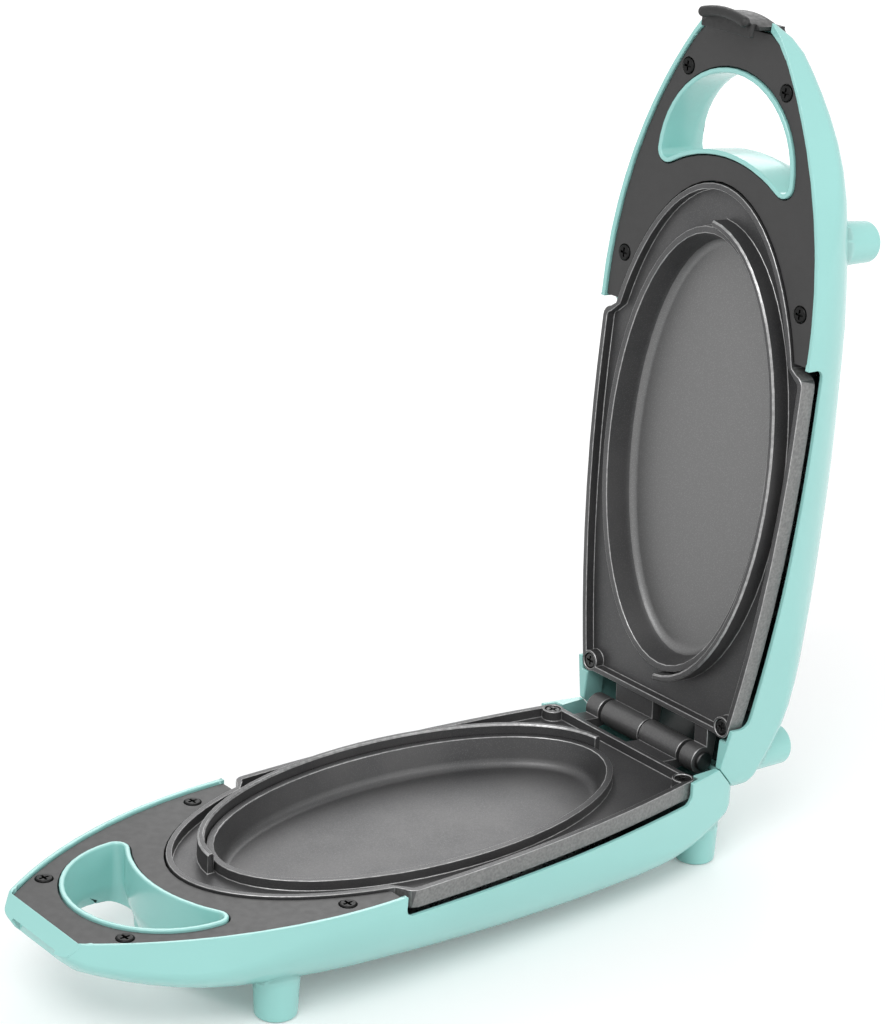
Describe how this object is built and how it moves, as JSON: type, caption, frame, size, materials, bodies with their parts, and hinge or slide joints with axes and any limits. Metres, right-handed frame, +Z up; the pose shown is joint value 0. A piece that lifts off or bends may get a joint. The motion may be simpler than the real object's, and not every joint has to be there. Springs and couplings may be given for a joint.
{
  "type": "electric omelette maker",
  "caption": "Hinged countertop omelette maker standing open: two pointed oval halves with pans, heaters, loop handles and a sprung latch at the lid's tip.",
  "frame": {"origin": "on the table, under the middle of the open appliance's bounding box", "axes": "+Z up, the base points along -X from the hinge, the open lid stands over +X, and the hinge axis runs along Y"},
  "size_m": [0.371, 0.1272, 0.358],
  "materials": {
    "shell": "smooth mint moulded plastic, soft gloss",
    "panel": "fine matt black moulded plastic",
    "plate": "die casting with a dark grey non-stick coating",
    "heater": "dull heat-tinted sheath",
    "ceramic": "pale heat-proof moulding",
    "shield": "bright pressed sheet",
    "zinc": "zinc plated",
    "brass": "plain turned brass",
    "black_screw": "blackened steel",
    "pin": "darkened steel rod",
    "gland": "black moulded bush",
    "lead": "braided sleeve",
    "lens": "tinted clear plastic",
    "lamp": "small glass tube",
    "latch": "dark grey moulded plastic"
  },
  "bodies": {
    "base": {"base_shell": "shell", "base_handle_panel": "panel", "base_cooking_plate": "plate", "base_heating_element": "heater", "base_element_terminals": "ceramic", "base_heat_shield": "shield", "base_shield_screws": "zinc", "base_panel_screws": "black_screw", "base_plate_screws": "black_screw", "thermostat": "ceramic", "thermal_fuse": "zinc", "terminal_block": "ceramic", "terminal_screws": "brass", "cord_gland": "gland", "cord_clamp": "gland", "cord_clamp_screws": "zinc", "base_leads": "lead", "base_earth_screw": "zinc", "hinge_pin": "pin", "hinge_pin_clip": "pin"},
    "lid": {"lid_shell": "shell", "lid_handle_panel": "panel", "lid_cooking_plate": "plate", "lid_heating_element": "heater", "lid_element_terminals": "ceramic", "lid_heat_shield": "shield", "lid_shield_screws": "zinc", "lid_panel_screws": "black_screw", "lid_plate_screws": "black_screw", "lid_leads": "lead", "lid_earth_screw": "zinc", "lamp_lenses": "lens", "neon_lamps": "lamp", "latch_pin": "pin", "latch_spring": "zinc"},
    "latch": {"latch": "latch"}
  },
  "joints": [
    {"name": "lid_hinge", "type": "hinge", "parent": "base", "child": "lid", "pos_m": [0.12052, 0, 0.0455], "axis": [0, 1, 0], "range_deg": [-94.9, 0]},
    {"name": "latch_hinge", "type": "hinge", "parent": "lid", "child": "latch", "pos_m": [0.15341, 0, 0.3484], "axis": [0, 1, 0], "range_deg": [0, 12], "stiffness_Nm_per_rad": 0.15, "springref_deg": -11.46}
  ]
}
